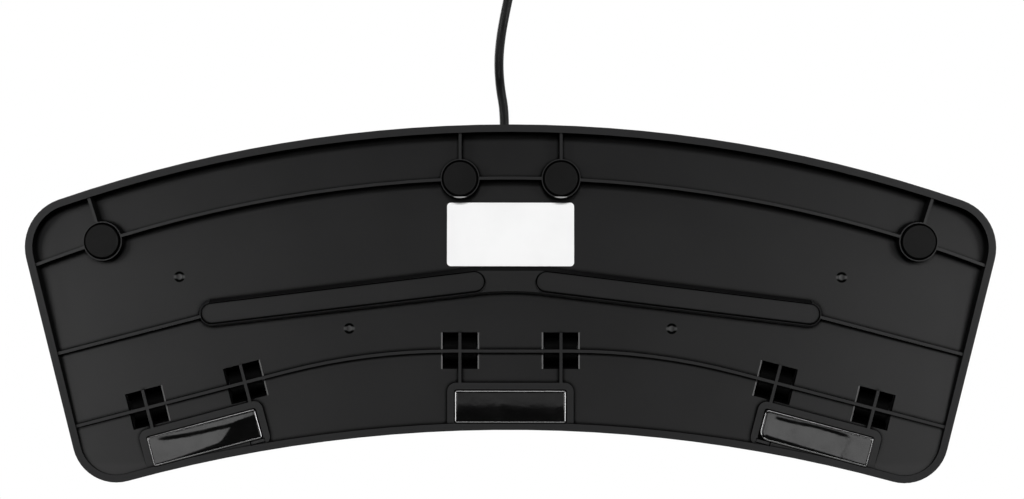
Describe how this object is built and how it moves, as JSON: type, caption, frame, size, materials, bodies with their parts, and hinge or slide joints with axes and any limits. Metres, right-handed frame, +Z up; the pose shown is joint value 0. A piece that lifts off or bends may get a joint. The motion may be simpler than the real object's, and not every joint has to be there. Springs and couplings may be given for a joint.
{
  "type": "usb foot pedal switch",
  "caption": "Low crescent-shaped foot switch with wide rocking pedals on sprung hinges, ridged rubber grips, rubber feet and a coiled cord with a flat plug.",
  "frame": {"origin": "middle of the footprint of the body at the level it stands on, cord, coil and plug left out", "axes": "+Z up, +X to the user's right along the length, +Y to the rear, where the cord leaves"},
  "size_m": [0.3304, 0.2302, 0.0358],
  "materials": {
    "housing_plastic": "fine-textured moulded black plastic",
    "pedal_plastic": "fine-textured moulded black plastic",
    "grip_rubber": "soft ridged rubber",
    "pad_rubber": "smooth, slightly glossy rubber",
    "foot_rubber": "smooth rubber",
    "label_vinyl": "plain white film",
    "screw_steel": "zinc-plated",
    "pin_steel": "ground",
    "spring_steel": "drawn wire",
    "switch_black": "moulded",
    "stem_plastic": "moulded brown plastic",
    "board_laminate": "green solder mask",
    "chip_black": "moulded",
    "crystal_can": "drawn can",
    "connector_plastic": "cream",
    "lead_insulation": "soft vinyl",
    "core_insulation": "soft vinyl",
    "cord_jacket": "soft vinyl jacket",
    "cord_tie_plastic": "smooth band",
    "grommet_rubber": "smooth",
    "plug_overmould": "soft overmoulding",
    "plug_shell_nickel": "nickel plated sheet",
    "plug_insert_plastic": "moulded",
    "contact_gold": "gold plated"
  },
  "bodies": {
    "housing": {"base_plate": "housing_plastic", "top_cover": "housing_plastic", "cover_screws": "screw_steel", "board_screws": "screw_steel", "blank_label": "label_vinyl", "round_foot_inner_left": "foot_rubber", "round_foot_inner_right": "foot_rubber", "round_foot_outer_left": "foot_rubber", "round_foot_outer_right": "foot_rubber", "front_pad_left": "pad_rubber", "front_pad_middle": "pad_rubber", "front_pad_right": "pad_rubber", "hinge_pin_left": "pin_steel", "return_spring_left": "spring_steel", "switch_base_left": "switch_black", "switch_cover_left": "switch_black", "switch_board_left": "board_laminate", "switch_leads_left": "lead_insulation", "hinge_pin_middle": "pin_steel", "return_spring_middle": "spring_steel", "switch_base_middle": "switch_black", "switch_cover_middle": "switch_black", "switch_board_middle": "board_laminate", "switch_leads_middle": "lead_insulation", "hinge_pin_right": "pin_steel", "return_spring_right": "spring_steel", "switch_base_right": "switch_black", "switch_cover_right": "switch_black", "switch_board_right": "board_laminate", "switch_leads_right": "lead_insulation", "controller_board": "board_laminate", "controller_chip": "chip_black", "crystal": "crystal_can", "board_connectors": "connector_plastic", "cord": "cord_jacket", "cord_coil": "cord_jacket", "cord_tail": "cord_jacket", "cord_tie": "cord_tie_plastic", "cord_grommet": "grommet_rubber", "cord_inside": "cord_jacket", "cord_cores": "core_insulation", "cord_clamp": "housing_plastic", "clamp_screws": "screw_steel", "plug_body": "plug_overmould", "plug_shell": "plug_shell_nickel", "plug_insert": "plug_insert_plastic", "plug_contacts": "contact_gold"},
    "pedal_body_left": {"pedal_left": "pedal_plastic", "grip_left": "grip_rubber"},
    "stem_body_left": {"switch_stem_left": "stem_plastic"},
    "pedal_body_middle": {"pedal_middle": "pedal_plastic", "grip_middle": "grip_rubber"},
    "stem_body_middle": {"switch_stem_middle": "stem_plastic"},
    "pedal_body_right": {"pedal_right": "pedal_plastic", "grip_right": "grip_rubber"},
    "stem_body_right": {"switch_stem_right": "stem_plastic"}
  },
  "joints": [
    {"name": "pedal_left_press", "type": "hinge", "parent": "housing", "child": "pedal_body_left", "pos_m": [-0.107, -0.0312, 0.00803], "axis": [-0.9677, -0.2521, 0], "range_deg": [0, 4.6], "stiffness_Nm_per_rad": 1.8, "springref_deg": -8.59, "deforming": ["return_spring_left"]},
    {"name": "stem_left_slide", "type": "slide", "parent": "housing", "child": "stem_body_left", "axis": [0, 0.0946, -0.9955], "range_m": [0, 0.0034]},
    {"name": "pedal_middle_press", "type": "hinge", "parent": "housing", "child": "pedal_body_middle", "pos_m": [0, -0.0161, 0.00947], "axis": [-1, 0, 0], "range_deg": [0, 4.6], "stiffness_Nm_per_rad": 1.8, "springref_deg": -8.59, "deforming": ["return_spring_middle"]},
    {"name": "stem_middle_slide", "type": "slide", "parent": "housing", "child": "stem_body_middle", "axis": [0, 0.0946, -0.9955], "range_m": [0, 0.0034]},
    {"name": "pedal_right_press", "type": "hinge", "parent": "housing", "child": "pedal_body_right", "pos_m": [0.107, -0.0312, 0.00803], "axis": [-0.9677, 0.2521, 0], "range_deg": [0, 4.6], "stiffness_Nm_per_rad": 1.8, "springref_deg": -8.59, "deforming": ["return_spring_right"]},
    {"name": "stem_right_slide", "type": "slide", "parent": "housing", "child": "stem_body_right", "axis": [0, 0.0946, -0.9955], "range_m": [0, 0.0034]}
  ],
  "couplings": [
    {"joint": "stem_left_slide", "follows": "pedal_left_press", "m_per_rad": 0.0408},
    {"joint": "stem_middle_slide", "follows": "pedal_middle_press", "m_per_rad": 0.0408},
    {"joint": "stem_right_slide", "follows": "pedal_right_press", "m_per_rad": 0.0408}
  ]
}
